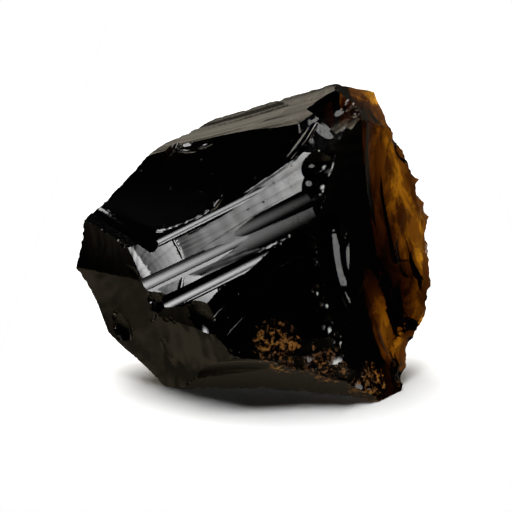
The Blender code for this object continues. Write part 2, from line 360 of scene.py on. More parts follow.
speckle = noise_in(shader, where, FLECK_NOISE)
nearest = None
for middle, reach in FLECK_PATCHES:
    away = node_in(shader, "ShaderNodeVectorMath", (where, middle), operation="DISTANCE")
    close = ramp_in(shader, away.outputs["Value"], (reach, FLECK_CORE * reach))
    nearest = close if nearest is None else maths_in(shader, "MAXIMUM", nearest, close)
fleck = ramp_in(shader, maths_in(shader, "MULTIPLY", speckle, nearest), FLECK_SPAN)
grain = node_in(shader, "ShaderNodeBsdfPrincipled")
grain.inputs["Roughness"].default_value = FLECK_ROUGHNESS
shader.links.new(mix_in(shader, smoke_and_rim_shade, FLECK_BROWN, FLECK_PALE), grain.inputs["Base Color"])
both = (fleck, surface.outputs[0], grain.outputs[0])
speckled = node_in(shader, "ShaderNodeMixShader", both)
depth = node_in(shader, "ShaderNodeVolumeAbsorption")
depth.inputs["Color"].default_value = ABSORPTION_COLOUR
depth.inputs["Density"].default_value = ABSORPTION_DENSITY
output = shader.nodes["Material Output"]
shader.links.new(speckled.outputs[0], output.inputs["Surface"])
shader.links.new(depth.outputs[0], output.inputs["Volume"])


# --- The chunk: what one flake takes away ----------------------------------------------
# The waste of a flake is a slab whose underside is the fracture: a shallow dish with
# ripples round the place of the blow, hackles that radiate from it and a slight swell.

RIPPLE_WANDER = (120.0, 1.6)  # scale of the noise, and how far a ripple strays, in spacings
RIPPLE_FADE = (60.0, 2.4, 0.6)  # scale of the noise, its strength and the usual height
RIPPLE_FAINTEST = 0.1
HACKLE_LENGTH = 25.0  # higher is shorter
FLOOR_CEILING = 0.9  # share of the slab's height that its floor never rises past
WELD = 1e-6
SCAR_SWELL_SIZE = 90.0


def flake_tree():
    tree = bpy.data.node_groups.new("flake_waste", "GeometryNodeTree")
    sockets = tree.interface
    lengths = (
        "Face X", "Face Y", "Half X", "Half Y", "Reach", "Height", "Sink",
        "Bend X", "Bend Y", "Struck X", "Struck Y", "Ripple", "Spacing", "Hackle",
        "Spokes", "Swell", "Swell size", "Seed",
    )  # fmt: skip
    for name in lengths:
        sockets.new_socket(name, in_out="INPUT", socket_type="NodeSocketFloat")
    for name in ("Cells X", "Cells Y", "Border cells"):
        sockets.new_socket(name, in_out="INPUT", socket_type="NodeSocketInt")
    sockets.new_socket("Waste", in_out="OUTPUT", socket_type="NodeSocketGeometry")
    given = tree.nodes.new("NodeGroupInput").outputs
    result = tree.nodes.new("NodeGroupOutput").inputs["Waste"]

    plug = partial(plug_in, tree)
    maths = partial(maths_in, tree)

    def vector(x, y, z=0.0):
        return node_in(tree, "ShaderNodeCombineXYZ", (x, y, z)).outputs[0]

    def noise(at, scale, detail=2.0, seed=0.0):
        """A soft field between about -0.5 and 0.5."""
        node = node_in(tree, "ShaderNodeTexNoise", noise_dimensions="4D")
        plug(node.inputs["Vector"], at)
        plug(node.inputs["W"], maths("ADD", given["Seed"], seed))
        plug(node.inputs["Scale"], scale)
        plug(node.inputs["Detail"], detail)
        return maths("SUBTRACT", node.outputs[0], 0.5)

    # A grid over -1..1 with extra cells round it. Those are stretched out to the reach.
    grid = tree.nodes.new("GeometryNodeMeshGrid")
    sides = []
    for axis in "XY":
        cells = given[f"Cells {axis}"]
        extra = maths("DIVIDE", maths("MULTIPLY", given["Border cells"], 2.0), cells)
        plug(grid.inputs[f"Size {axis}"], maths("MULTIPLY_ADD", extra, 2.0, 2.0))
        count = maths("MULTIPLY_ADD", given["Border cells"], 2.0, maths("ADD", cells, 1.0))
        plug(grid.inputs[f"Vertices {axis}"], count)
        sides.append(extra)
    place = tree.nodes.new("GeometryNodeInputPosition").outputs[0]
    split = node_in(tree, "ShaderNodeSeparateXYZ", (place,))
    flat = []
    for axis, extra, raw in zip("XY", sides, split.outputs):
        inner = maths("MAXIMUM", maths("MINIMUM", raw, 1.0), -1.0)
        outer = maths("DIVIDE", maths("SUBTRACT", raw, inner), extra)
        fine = maths("MULTIPLY_ADD", inner, given[f"Half {axis}"], given[f"Face {axis}"])
        flat.append(maths("MULTIPLY_ADD", outer, given["Reach"], fine))
    x, y = flat

    # The floor: a dish, the ripples, the hackles and the swell.
    bend = maths("MULTIPLY", maths("MULTIPLY", x, x), given["Bend X"])
    floor = maths("ADD", given["Sink"], bend)
    floor = maths("MULTIPLY_ADD", maths("MULTIPLY", y, y), given["Bend Y"], floor)
    here = vector(x, y)
    from_x = maths("SUBTRACT", x, given["Struck X"])
    from_y = maths("SUBTRACT", y, given["Struck Y"])
    along_squared = maths("MULTIPLY", from_x, from_x)
    across_squared = maths("MULTIPLY", from_y, from_y)
    far = maths("SQRT", maths("ADD", along_squared, across_squared))
    bearing = maths("ARCTAN2", from_y, from_x)
    wander = maths("MULTIPLY", noise(here, RIPPLE_WANDER[0], 2.0, 3.0), given["Spacing"])
    strayed = maths("MULTIPLY_ADD", wander, RIPPLE_WANDER[1], far)
    phase = maths("DIVIDE", strayed, given["Spacing"])
    wave = maths("SINE", maths("MULTIPLY", phase, 2.0 * pi))
    fade_scale, fade_strength, usual = RIPPLE_FADE
    fade = maths("MULTIPLY_ADD", noise(here, fade_scale, 1.0, 7.0), fade_strength, usual)
    fade = maths("MAXIMUM", fade, RIPPLE_FAINTEST)
    ripples = maths("MULTIPLY", maths("MULTIPLY", wave, given["Ripple"]), fade)
    spokes = vector(
        maths("MULTIPLY", bearing, given["Spokes"]), maths("MULTIPLY", far, HACKLE_LENGTH)
    )
    hackles = maths("MULTIPLY", noise(spokes, 1.0, 2.0, 11.0), given["Hackle"])
    swell = maths("MULTIPLY", noise(here, given["Swell size"], 1.0), given["Swell"])
    for part in (ripples, hackles, swell):
        floor = maths("ADD", floor, part)
    floor = maths("MINIMUM", floor, maths("MULTIPLY", given["Height"], FLOOR_CEILING))

    dish = tree.nodes.new("GeometryNodeSetPosition")
    plug(dish.inputs["Geometry"], grid.outputs["Mesh"])
    plug(dish.inputs["Position"], vector(x, y, floor))

    # The slab between the floor and its flat top.
    lift = tree.nodes.new("GeometryNodeExtrudeMesh")
    plug(lift.inputs["Mesh"], dish.outputs[0])
    lift.inputs["Individual"].default_value = False
    place = tree.nodes.new("GeometryNodeInputPosition").outputs[0]
    level = node_in(tree, "ShaderNodeSeparateXYZ", (place,))
    rise = maths("SUBTRACT", given["Height"], level.outputs[2])
    plug(lift.inputs["Offset"], vector(0.0, 0.0, rise))
    under = node_in(tree, "GeometryNodeFlipFaces", (dish.outputs[0],))
    both = tree.nodes.new("GeometryNodeJoinGeometry")
    plug(both.inputs[0], lift.outputs[0])
    plug(both.inputs[0], under.outputs[0])
    weld = tree.nodes.new("GeometryNodeMergeByDistance")
    plug(weld.inputs["Geometry"], both.outputs[0])
    weld.inputs["Distance"].default_value = WELD
    solid = node_in(tree, "GeometryNodeRealizeInstances", (weld.outputs[0],))
    finish = tree.nodes.new("GeometryNodeSetMaterial")
    plug(finish.inputs["Geometry"], solid.outputs[0])
    finish.inputs["Material"].default_value = glass
    plug(result, finish.outputs[0])
    return tree


FLAKE = flake_tree()
SOCKETS = {item.name: item.identifier for item in FLAKE.interface.items_tree}


def struck_flake(name, placed, **sizes):
    """The waste of one flake as a plain mesh object, in the chunk's frame."""
    made = bpy.data.objects.new(name, bpy.data.meshes.new(name))
    bpy.context.scene.collection.objects.link(made)
    nodes = made.modifiers.new("flake", "NODES")
    nodes.node_group = FLAKE
    for socket, value in sizes.items():
        nodes[SOCKETS[socket.replace("_", " ")]] = value
    graph = bpy.context.evaluated_depsgraph_get()
    mesh = bpy.data.meshes.new_from_object(made.evaluated_get(graph))
    made.modifiers.remove(nodes)
    placed = placed.copy()
    placed.translation *= MM
    mesh.transform(placed)
    made.data = mesh
    return made


CAD_POINTS = [v.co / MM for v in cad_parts["obsidian_chunk"].data.vertices]


def face_of(scar, placed):
    """The middle and half size of the face that a scar leaves on the chunk."""
    turned = placed.inverted()
    on_floor = []
    for point in CAD_POINTS:
        local = turned @ point
        floor = local.x**2 / (2 * scar.along) + local.y**2 / (2 * scar.across)
        if abs(local.z - floor) < FACE_TOLERANCE:
            on_floor.append(local)
    xs = [p.x for p in on_floor]
    ys = [p.y for p in on_floor]
    middle = ((min(xs) + max(xs)) / 2, (min(ys) + max(ys)) / 2)
    half = ((max(xs) - min(xs)) / 2 + FACE_MARGIN, (max(ys) - min(ys)) / 2 + FACE_MARGIN)
    return middle, half


def waste_of_scar(scar, number):
    placed = scar_frame(scar.at, scar.azimuth, scar.rise, scar.blow)
    (x, y), (half_x, half_y) = face_of(scar, placed)
    cell = BACK_CELL if scar.name.startswith("back") else FRONT_CELL
    along, across = scar.cells or (cell, cell)
    return struck_flake(
        scar.name, placed,
        Face_X=x * MM, Face_Y=y * MM, Half_X=half_x * MM, Half_Y=half_y * MM,
        Cells_X=ceil(2 * half_x / along), Cells_Y=ceil(2 * half_y / across),
        Border_cells=BORDER_CELLS, Reach=WASTE_REACH * MM, Height=WASTE_HEIGHT * MM,
        Sink=0.0, Bend_X=1 / (2 * scar.along * MM), Bend_Y=1 / (2 * scar.across * MM),
        Struck_X=scar.struck * MM, Struck_Y=0.0,
        Ripple=scar.ripple * MM, Spacing=scar.spacing * MM, Hackle=scar.hackle * MM,
        Spokes=scar.spokes, Swell=scar.swell * MM, Swell_size=SCAR_SWELL_SIZE,
        Seed=float(number),
    )  # fmt: skip


BITE_CELLS = (14, 120)  # fewest and most cells across a bite
BITE_SPREAD = 1.5  # the cutter's size against the bite's
BITE_CELL = 0.32
BACK_BITE_CELL = 0.5
BITE_BORDER = 0.6  # how far the cutter goes on past that, against half the bite's width
BITE_HEIGHT = (8, 2.0)  # of the cutter: against the bite's depth, and what is added
BITE_STRUCK = -1.2  # where the ripples start, against half the bite's length
BITE_RIPPLE = 0.012  # height of the ripples against the depth
BITE_RIPPLE_SPACING = 1.1
BITE_SWELL = 0.1  # height of the broad unevenness against the depth
BITE_SWELL_SIZE = 300.0
BITE_SEED = 100.0


def waste_of_bite(bite, number, surface=None):
    """A dish that is deepest in its middle and leaves the face along an oval."""
    placed = scar_frame(bite.at, bite.azimuth, bite.rise, bite.blow)
    if surface:
        placed.translation = surface.find_nearest(placed.translation * MM)[0] / MM
    half_x, half_y = bite.length / 2, bite.width / 2
    cell = BACK_BITE_CELL if bite.name.startswith("back") else BITE_CELL
    cells = [
        max(BITE_CELLS[0], min(BITE_CELLS[1], ceil(2 * BITE_SPREAD * half / cell)))
        for half in (half_x, half_y)
    ]
    return struck_flake(
        bite.name, placed,
        Face_X=0.0, Face_Y=0.0, Half_X=half_x * BITE_SPREAD * MM, Half_Y=half_y * BITE_SPREAD * MM,
        Cells_X=cells[0], Cells_Y=cells[1], Border_cells=1, Reach=BITE_BORDER * half_y * MM,
        Height=(bite.depth * BITE_HEIGHT[0] + BITE_HEIGHT[1]) * MM, Sink=-bite.depth * MM,
        Bend_X=bite.depth / half_x**2 / MM, Bend_Y=bite.depth / half_y**2 / MM,
        Struck_X=BITE_STRUCK * half_x * MM, Struck_Y=0.0,
        Ripple=BITE_RIPPLE * bite.depth * MM, Spacing=BITE_RIPPLE_SPACING * MM,
        Hackle=bite.hackle * bite.depth * MM, Spokes=bite.spokes,
        Swell=BITE_SWELL * bite.depth * MM, Swell_size=BITE_SWELL_SIZE, Seed=BITE_SEED + number,
    )  # fmt: skip


# --- The chunk: its bruised edges -------------------------------------------------------
# Where the edges were knocked, chip after chip is missing, no two alike. The thin right
# edge is blunt all along, the front is pitted, and every sharp ridge is crushed in spots.

CHIP_SPACING = 2.9
CHIP_RADIUS = (1.8, 3.6)
CHIP_DEPTH = (0.35, 0.8)
CHIP_LEAN = (34, 22)  # how far a chip may turn and tilt from the way its edge faces
CHIP_SEED = 11
CHIP_FINENESS = (4, 3)  # of the balls: for a bruise, and for the smaller chips

BRUISED_EDGES = {
    "right_edge": (
        ((25.6, 9.6, 50.5), (31.2, 8.6, 38.9), (34.7, 7.9, 27.3), (35.5, 3.9, 15.6),
         (32.8, -0.4, 9.2), (30.3, -5.4, 6.0), (27.2, -11.4, 1.8)),
        (102, -4),
    ),
    "front_ridge": (
        ((12.2, -11.6, 34.0), (12.0, -12.8, 30.4), (13.0, -14.3, 24.0),
         (14.6, -15.6, 17.3), (16.2, -17.2, 11.5)),
        (24, 14),
    ),
}  # fmt: skip


def along_edge(points, spacing):
    """Points about one spacing apart along a line with corners."""
    for start, end in zip(points, points[1:]):
        start, end = Vector(start), Vector(end)
        count = max(1, round((end - start).length / spacing))
        for i in range(count):
            yield start.lerp(end, i / count)


def waste_of_chips(name, chips, fineness):
    """One mesh of balls, each sunk into the edge as deep as its chip."""
    bm = bmesh.new()
    for at, outward, radius, depth in chips:
        centre = Matrix.Translation((at + outward * (radius - depth)) * MM)
        bmesh.ops.create_icosphere(bm, subdivisions=fineness, radius=radius * MM, matrix=centre)
    mesh = bpy.data.meshes.new(name)
    bm.to_mesh(mesh)
    bm.free()
    mesh.materials.append(glass)
    made = bpy.data.objects.new(name, mesh)
    bpy.context.scene.collection.objects.link(made)
    return made


def bruises():
    rng = Random(CHIP_SEED)
    for edge, (points, (azimuth, rise)) in BRUISED_EDGES.items():
        for i, at in enumerate(along_edge(points, CHIP_SPACING)):
            turn = rng.uniform(-CHIP_LEAN[0], CHIP_LEAN[0])
            tilt = rng.uniform(-CHIP_LEAN[1], CHIP_LEAN[1])
            outward = facing(azimuth + turn, rise + tilt)
            radius = rng.uniform(*CHIP_RADIUS)
            depth = rng.uniform(*CHIP_DEPTH)
            chip = (at + Vector(REST), outward, radius, depth)
            yield waste_of_chips(f"{edge}_chip_{i + 1}", [chip], CHIP_FINENESS[0])


RIM_SPACING = 1.3
RIM_RADIUS = (1.0, 2.6)
RIM_DEPTH = (0.2, 0.5)
RIM_FACING = (72.0, 4.0)
RIM_LEAN = (26.0, 24.0)
RIM_SEED = 23
RIM_SETS = 4  # neighbours go into different sets, so that no set's balls meet


def rim_chips(surface):
    """Small chips struck off the thin right edge from the front."""
    rng = Random(RIM_SEED)
    sets = [[] for _ in range(RIM_SETS)]
    for i, at in enumerate(along_edge(BRUISED_EDGES["right_edge"][0], RIM_SPACING)):
        at = surface.find_nearest((at + Vector(REST)) * MM)[0] / MM
        outward = facing(
            RIM_FACING[0] + rng.uniform(-1, 1) * RIM_LEAN[0],
            RIM_FACING[1] + rng.uniform(-1, 1) * RIM_LEAN[1],
        )
        sets[i % RIM_SETS].append((at, outward, rng.uniform(*RIM_RADIUS), rng.uniform(*RIM_DEPTH)))
    fineness = CHIP_FINENESS[1]
    return [waste_of_chips(f"rim_{i + 1}", chips, fineness) for i, chips in enumerate(sets)]


PIT_COUNT = 80
PIT_RADIUS = (0.3, 0.6)
PIT_DEPTH = (0.015, 0.05)
PIT_SEED = 31
PIT_SPAN = ((-32.0, 32.0), (3.0, 52.0))  # across and up
PIT_FROM = -80.0  # pits are shot at the front from here
PIT_APART = 2.5


def pits(surface):
    """Tiny popped bubbles and knocks, scattered over the front."""
    rng = Random(PIT_SEED)
    balls = []
    while len(balls) < PIT_COUNT:
        start = Vector((rng.uniform(*PIT_SPAN[0]), PIT_FROM, rng.uniform(*PIT_SPAN[1])))
        at, outward, _, _ = surface.ray_cast(start * MM, Vector((0, 1, 0)))
        radius = rng.uniform(*PIT_RADIUS)
        depth = rng.uniform(*PIT_DEPTH)
        if at is None:
            continue
        if all((at / MM - ball[0]).length > PIT_APART for ball in balls):
            balls.append((at / MM, outward, radius, depth))
    return [waste_of_chips("pits", balls, CHIP_FINENESS[1])]


WEAR_ANGLE = 28.0  # ridges at least this sharp are worn
WEAR_SPACING = 1.5
WEAR_RADIUS = (0.5, 1.5)
WEAR_DEPTH = (0.05, 0.20)
WEAR_LEAN = 0.5  # of a spot's facing, against a length of 1
WEAR_SETS = 5  # again so that no set's balls meet
WEAR_SEED = 5


def ridge_wear():
    """Crushed spots, a millimetre or so across, strung along every sharp ridge."""
    rng = Random(WEAR_SEED)
    bm = bmesh.new()
    bm.from_mesh(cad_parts["obsidian_chunk"].data)
    bmesh.ops.remove_doubles(bm, verts=bm.verts, dist=WELD)
    sets = [[] for _ in range(WEAR_SETS)]
    count = 0
    for edge in bm.edges:
        if len(edge.link_faces) != 2 or edge.calc_face_angle_signed(0.0) < radians(WEAR_ANGLE):
            continue
        start, end = (v.co / MM for v in edge.verts)
        outward = (edge.link_faces[0].normal + edge.link_faces[1].normal).normalized()
        expected = (end - start).length / WEAR_SPACING
        for _ in range(int(expected + rng.random())):
            at = start.lerp(end, rng.random())
            lean = Vector([rng.uniform(-WEAR_LEAN, WEAR_LEAN) for _ in range(3)])
            radius = rng.uniform(*WEAR_RADIUS)
            depth = rng.uniform(*WEAR_DEPTH)
            sets[count % WEAR_SETS].append((at, (outward + lean).normalized(), radius, depth))
            count += 1
    bm.free()
    fineness = CHIP_FINENESS[1]
    return [waste_of_chips(f"wear_{i + 1}", chips, fineness) for i, chips in enumerate(sets)]


# --- The chunk: lines in its faces --------------------------------------------------------
# Where two fracture fronts met, or one stalled, a fine step or line is left in the face.


class Line(NamedTuple):
    """A fine groove along points that lie close to the surface."""

    name: str
    radius: float  # of the groove's round floor
    depth: float
    points: tuple


LINES = (
    Line("arc_ridge", 1.6, 0.26,
         ((-27.5, -3.6, 30.0), (-22.2, -5.4, 30.5), (-17.3, -6.5, 31.6), (-12.5, -6.7, 33.5),
          (-8.5, -5.8, 35.8), (-5.5, -3.7, 38.8))),
    Line("fissure", 0.9, 0.10,
         ((-20.5, 0.8, 35.4), (-18.8, -2.0, 34.0), (-17.0, -5.9, 32.2), (-15.4, -8.5, 30.1),
          (-14.2, -10.1, 28.3), (-13.6, -11.5, 26.6))),
    Line("fissure_left_foot", 0.24, 0.12,
         ((-14.5, -12.0, 25.7), (-14.6, -13.7, 23.7), (-14.8, -15.2, 21.8))),
    Line("fissure_right_foot", 0.24, 0.12,
         ((-13.2, -12.0, 25.7), (-12.9, -13.8, 23.7), (-12.8, -15.2, 21.8))),
    Line("band_top_step", 0.30, 0.13,
         ((-14.8, -8.3, 30.6), (-10.6, -7.8, 32.7), (-5.8, -6.9, 36.0), (-1.1, -5.9, 39.5),
          (4.6, -5.2, 43.4), (9.5, -4.4, 47.1))),
    Line("band_line", 0.24, 0.05,
         ((-13.0, -10.7, 27.9), (-7.7, -9.7, 31.2), (-1.1, -8.7, 35.3), (4.6, -8.1, 38.7),
          (8.7, -8.0, 41.0))),
    Line("band_low_line", 0.24, 0.07,
         ((-9.0, -14.9, 24.0), (-1.1, -13.5, 29.0), (4.5, -12.3, 32.6), (7.8, -11.7, 34.6))),
    Line("lip", 0.35, 0.16,
         ((8.8, -12.4, 33.9), (10.5, -12.4, 32.9), (11.5, -12.3, 31.6), (10.9, -12.4, 30.3),
          (11.5, -12.9, 28.8), (11.7, -13.5, 25.6), (11.9, -14.1, 22.8))),
    Line("front_arc_upper", 0.30, 0.04,
         ((-3.5, -15.7, 21.9), (-5.8, -16.4, 20.7), (-7.7, -17.1, 19.0), (-8.6, -17.1, 16.8))),
    Line("front_arc_lower", 0.30, 0.04,
         ((-2.0, -16.3, 18.6), (-3.9, -17.0, 16.9), (-5.2, -17.6, 15.5), (-5.8, -18.0, 14.2))),
    Line("front_line", 0.25, 0.025, ((1.2, -14.4, 25.4), (5.5, -13.5, 28.0), (10.2, -12.8, 30.4))),
    Line("right_arc_inner", 0.30, 0.06,
         ((20.9, -4.7, 24.7), (21.1, -5.4, 22.3), (20.5, -7.0, 20.2), (19.7, -8.6, 18.8))),
    Line("right_arc_outer", 0.30, 0.06,
         ((24.0, -2.1, 23.6), (24.2, -3.1, 20.7), (23.6, -4.6, 18.7), (22.8, -6.1, 17.3))),
    Line("left_face_arc", 2.4, 0.10,
         ((-25.1, -7.1, 25.2), (-22.4, -10.3, 23.9), (-20.9, -11.8, 21.4), (-19.9, -12.3, 19.4),
          (-19.8, -12.5, 16.9), (-20.7, -10.9, 13.5))),
    Line("left_heel_arc", 2.0, 0.09,
         ((-19.9, -12.3, 15.2), (-17.9, -11.8, 11.4), (-16.6, -11.2, 7.9), (-16.1, -10.6, 4.8))),
    Line("lower_front_ridge", 0.6, 0.16,
         ((-4.7, -18.4, 12.3), (-7.0, -15.1, 7.0), (-9.9, -11.8, 2.8), (-12.0, -10.5, 0.9))),
)  # fmt: skip


GROOVE_SCALE = 900.0  # of the noise that makes a groove uneven


def groove_tree():
    """A round bar along a path, uneven in its thickness and closed at its ends."""
    tree = bpy.data.node_groups.new("groove_waste", "GeometryNodeTree")
    sockets = tree.interface
    for name, kind in (
        ("Path", "Geometry"), ("Radius", "Float"), ("Unevenness", "Float"),
        ("Sides", "Int"), ("Seed", "Float"),
    ):  # fmt: skip
        sockets.new_socket(name, in_out="INPUT", socket_type=f"NodeSocket{kind}")
    sockets.new_socket("Waste", in_out="OUTPUT", socket_type="NodeSocketGeometry")
    given = tree.nodes.new("NodeGroupInput").outputs
    link = tree.links.new
    maths = partial(maths_in, tree)
    curve = tree.nodes.new("GeometryNodeMeshToCurve")
    link(given["Path"], curve.inputs["Mesh"])
    noise = node_in(tree, "ShaderNodeTexNoise", noise_dimensions="4D")
    noise.inputs["Scale"].default_value = GROOVE_SCALE
    link(given["Seed"], noise.inputs["W"])
    uneven = tree.nodes.new("ShaderNodeMapRange")
    link(noise.outputs[0], uneven.inputs["Value"])
    link(maths("SUBTRACT", 1.0, given["Unevenness"]), uneven.inputs["To Min"])
    link(maths("ADD", 1.0, given["Unevenness"]), uneven.inputs["To Max"])
    set_size = tree.nodes.new("GeometryNodeSetCurveRadius")
    link(curve.outputs[0], set_size.inputs["Curve"])
    thickness = maths("MULTIPLY", given["Radius"], uneven.outputs["Result"])
    link(thickness, set_size.inputs["Radius"])
    ring = tree.nodes.new("GeometryNodeCurvePrimitiveCircle")
    ring.inputs["Radius"].default_value = 1.0
    link(given["Sides"], ring.inputs["Resolution"])
    sweep = tree.nodes.new("GeometryNodeCurveToMesh")
    link(set_size.outputs[0], sweep.inputs["Curve"])
    link(ring.outputs["Curve"], sweep.inputs["Profile Curve"])
    link(tree.nodes.new("GeometryNodeInputRadius").outputs[0], sweep.inputs["Scale"])
    sweep.inputs["Fill Caps"].default_value = True
    solid = node_in(tree, "GeometryNodeRealizeInstances", (sweep.outputs[0],))
    finish = tree.nodes.new("GeometryNodeSetMaterial")
    link(solid.outputs[0], finish.inputs["Geometry"])
    finish.inputs["Material"].default_value = glass
    link(finish.outputs[0], tree.nodes.new("NodeGroupOutput").inputs["Waste"])
    return tree


GROOVE = groove_tree()
GROOVE_SOCKETS = {item.name: item.identifier for item in GROOVE.interface.items_tree}
LINE_STEP = 0.45  # between the points of a groove's path
LINE_THICK = 0.5  # a bar of a larger radius than this is a thick one
LINE_SIDES = (12, 40)  # round a thin bar and round a thick one
LINE_UNEVEN = 0.10  # how much a bar's radius varies, against itself
LINE_TAPER = 2.5  # higher keeps the groove's depth nearer to its ends
LINE_LIFT = 0.3  # how far the ends rise clear of the face, against the depth


def smooth_path(points, step):
    """Points a step apart along a smooth line through the given ones."""
    knots = [Vector(p) for p in points]
    knots = [2 * knots[0] - knots[1], *knots, 2 * knots[-1] - knots[-2]]
    for a, b, c, d in zip(knots, knots[1:], knots[2:], knots[3:]):
        count = max(1, round((c - b).length / step))
        for i in range(count):
            t = i / count
            yield (
                b * 2 + (c - a) * t + (2 * a - 5 * b + 4 * c - d) * t**2
                + (3 * b - a - 3 * c + d) * t**3
            ) / 2  # fmt: skip
    yield knots[-2]


def waste_of_line(line, surface, number):
    """A bar that lies in the surface as deep as the groove, and runs out at both ends."""
    bm = bmesh.new()
    last = None
    route = [point + Vector(REST) for point in smooth_path(line.points, LINE_STEP)]
    for i, point in enumerate(route):
        on_face, outward, _, _ = surface.find_nearest(point * MM)
        along = i / (len(route) - 1)
        shallow = abs(2 * along - 1) ** LINE_TAPER
        above = line.radius - line.depth * (1 - shallow) + LINE_LIFT * line.depth * shallow
        vert = bm.verts.new(on_face + outward * above * MM)
        if last:
            bm.edges.new((last, vert))
        last = vert
    mesh = bpy.data.meshes.new(line.name)
    bm.to_mesh(mesh)
    bm.free()
    made = bpy.data.objects.new(line.name, mesh)
    bpy.context.scene.collection.objects.link(made)
    nodes = made.modifiers.new("groove", "NODES")
    nodes.node_group = GROOVE
    nodes[GROOVE_SOCKETS["Radius"]] = line.radius * MM
    nodes[GROOVE_SOCKETS["Unevenness"]] = LINE_UNEVEN
    nodes[GROOVE_SOCKETS["Sides"]] = LINE_SIDES[line.radius > LINE_THICK]
    nodes[GROOVE_SOCKETS["Seed"]] = float(number)
    graph = bpy.context.evaluated_depsgraph_get()
    made.data = bpy.data.meshes.new_from_object(made.evaluated_get(graph))
    made.modifiers.remove(nodes)
    return made


# --- The chunk: knapping it ----------------------------------------------------------------
# The rough block first loses its scars, bites and bruises. The late flakes, the chips of the
# rim, the pits, the lines and the wear are then struck out of the faces that this leaves.

LATE_NUMBER = 50  # the late bites are numbered from here


def knapped_from(name, mesh, flakes):
    """The mesh less the waste of every flake."""
    rough = bpy.data.objects.new(name, mesh)
    bpy.context.scene.collection.objects.link(rough)
    for flake in flakes:
        blow = rough.modifiers.new(flake.name, "BOOLEAN")
        blow.operation = "DIFFERENCE"
        blow.solver = "MANIFOLD"
        blow.object = flake
    graph = bpy.context.evaluated_depsgraph_get()
    result = bpy.data.meshes.new_from_object(rough.evaluated_get(graph))
    for used in [rough, *flakes]:
        bpy.data.objects.remove(used)
    return result


def surface_of(mesh):
    bm = bmesh.new()
    bm.from_mesh(mesh)
    tree = BVHTree.FromBMesh(bm)
    bm.free()
    return tree


bm = bmesh.new()
bmesh.ops.create_cube(
    bm, size=BLOCK * MM, matrix=Matrix.Translation((Vector(BLOCK_CENTRE) + Vector(REST)) * MM)
)
block = bpy.data.meshes.new("block")
bm.to_mesh(block)
bm.free()
block.materials.append(glass)
flakes = [waste_of_scar(scar, i) for i, scar in enumerate(SCARS)]
flakes += [waste_of_bite(bite, i) for i, bite in enumerate(BITES)]
flakes += list(bruises())
shaped = knapped_from("rough_block", block, flakes)
shaped_surface = surface_of(shaped)
flakes = [
    waste_of_bite(bite, LATE_NUMBER + i, shaped_surface) for i, bite in enumerate(LATE_BITES)
]
flakes += rim_chips(shaped_surface) + pits(shaped_surface)
flakes += [waste_of_line(line, shaped_surface, i) for i, line in enumerate(LINES)]
flakes += ridge_wear()
knapped = knapped_from("shaped_chunk", shaped, flakes)
knapped.name = "obsidian"
obsidian = bpy.data.objects.new("obsidian", knapped)
bpy.context.scene.collection.objects.link(obsidian)


# --- The chunk: finished -----------------------------------------------------------------
# Each point is told how far it lies from the right edge, where the glass's colour is darkened as a
# painted shade.

RIDGE_ANGLE = 22.0

corners = [np.array(Vector(p) + Vector(REST)) * MM for p in BRUISED_EDGES["right_edge"][0]]
places = np.empty(3 * len(knapped.vertices), dtype=np.float32)
knapped.vertices.foreach_get("co", places)
places = places.reshape(-1, 3)
to_rim = np.ones(len(places))
for start, end in zip(corners, corners[1:]):
    along = end - start
    share = np.clip((places - start) @ along / (along @ along), 0.0, 1.0)
    away = np.linalg.norm(places - start - share[:, None] * along, axis=1)
    to_rim = np.minimum(to_rim, away)
from_rim = knapped.attributes.new("from_rim", "FLOAT", "POINT")
from_rim.data.foreach_set("value", to_rim.astype(np.float32))

knapped.shade_smooth()
knapped.set_sharp_from_angle(angle=radians(RIDGE_ANGLE))
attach(obsidian, "root")
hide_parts("obsidian_chunk")


# --- The table -------------------------------------------------------------------------
# A sheet of white paper under the chunk, which takes its shadow. The glass neither mirrors
# the paper nor shows it through: it sees the floor of the room instead.

PAPER_SIDES = (-52.0, 62.0)
PAPER_ENDS = (-46.0, 300.0)
PAPER_WHITE = (0.88, 0.88, 0.88, 1.0)
PAPER_ROUGHNESS = 0.9
PAPER_BELOW = 0.05  # clear of the chunk's foot

paper_mesh = bpy.data.meshes.new("table")
bm = bmesh.new()
for x, y in (
    (PAPER_SIDES[0], PAPER_ENDS[0]), (PAPER_SIDES[1], PAPER_ENDS[0]),
    (PAPER_SIDES[1], PAPER_ENDS[1]), (PAPER_SIDES[0], PAPER_ENDS[1]),
):  # fmt: skip
    bm.verts.new(Vector((x, y, -PAPER_BELOW)) * MM)
bm.faces.new(bm.verts)
bm.to_mesh(paper_mesh)
bm.free()
table = bpy.data.objects.new("table", paper_mesh)
bpy.context.scene.collection.objects.link(table)
paper = bpy.data.materials.new("white_paper")
paper.use_nodes = True
matt = paper.node_tree.nodes["Principled BSDF"].inputs
matt["Base Color"].default_value = PAPER_WHITE
matt["Roughness"].default_value = PAPER_ROUGHNESS
matt["Specular IOR Level"].default_value = 0.0
paper_mesh.materials.append(paper)
table.visible_glossy = False
table.visible_transmission = False


# --- The light ---------------------------------------------------------------------------
# A large soft lamp overhead lights the table and the thin glass from behind. The broad band
# mirrors a soft box at the front left. Only the notch and the tip mirror the two small lamps
# above it, and a lamp at the right picks out the ridges.

LAMP_DISTANCE = 900.0
BOX_MIDDLE = (0.5, 0.5, 0.0)
BOX_EDGE = 0.26  # where the soft box goes dark, as a share of its width from its middle
BOX_FALL = 1.5  # higher makes it fade nearer to its middle


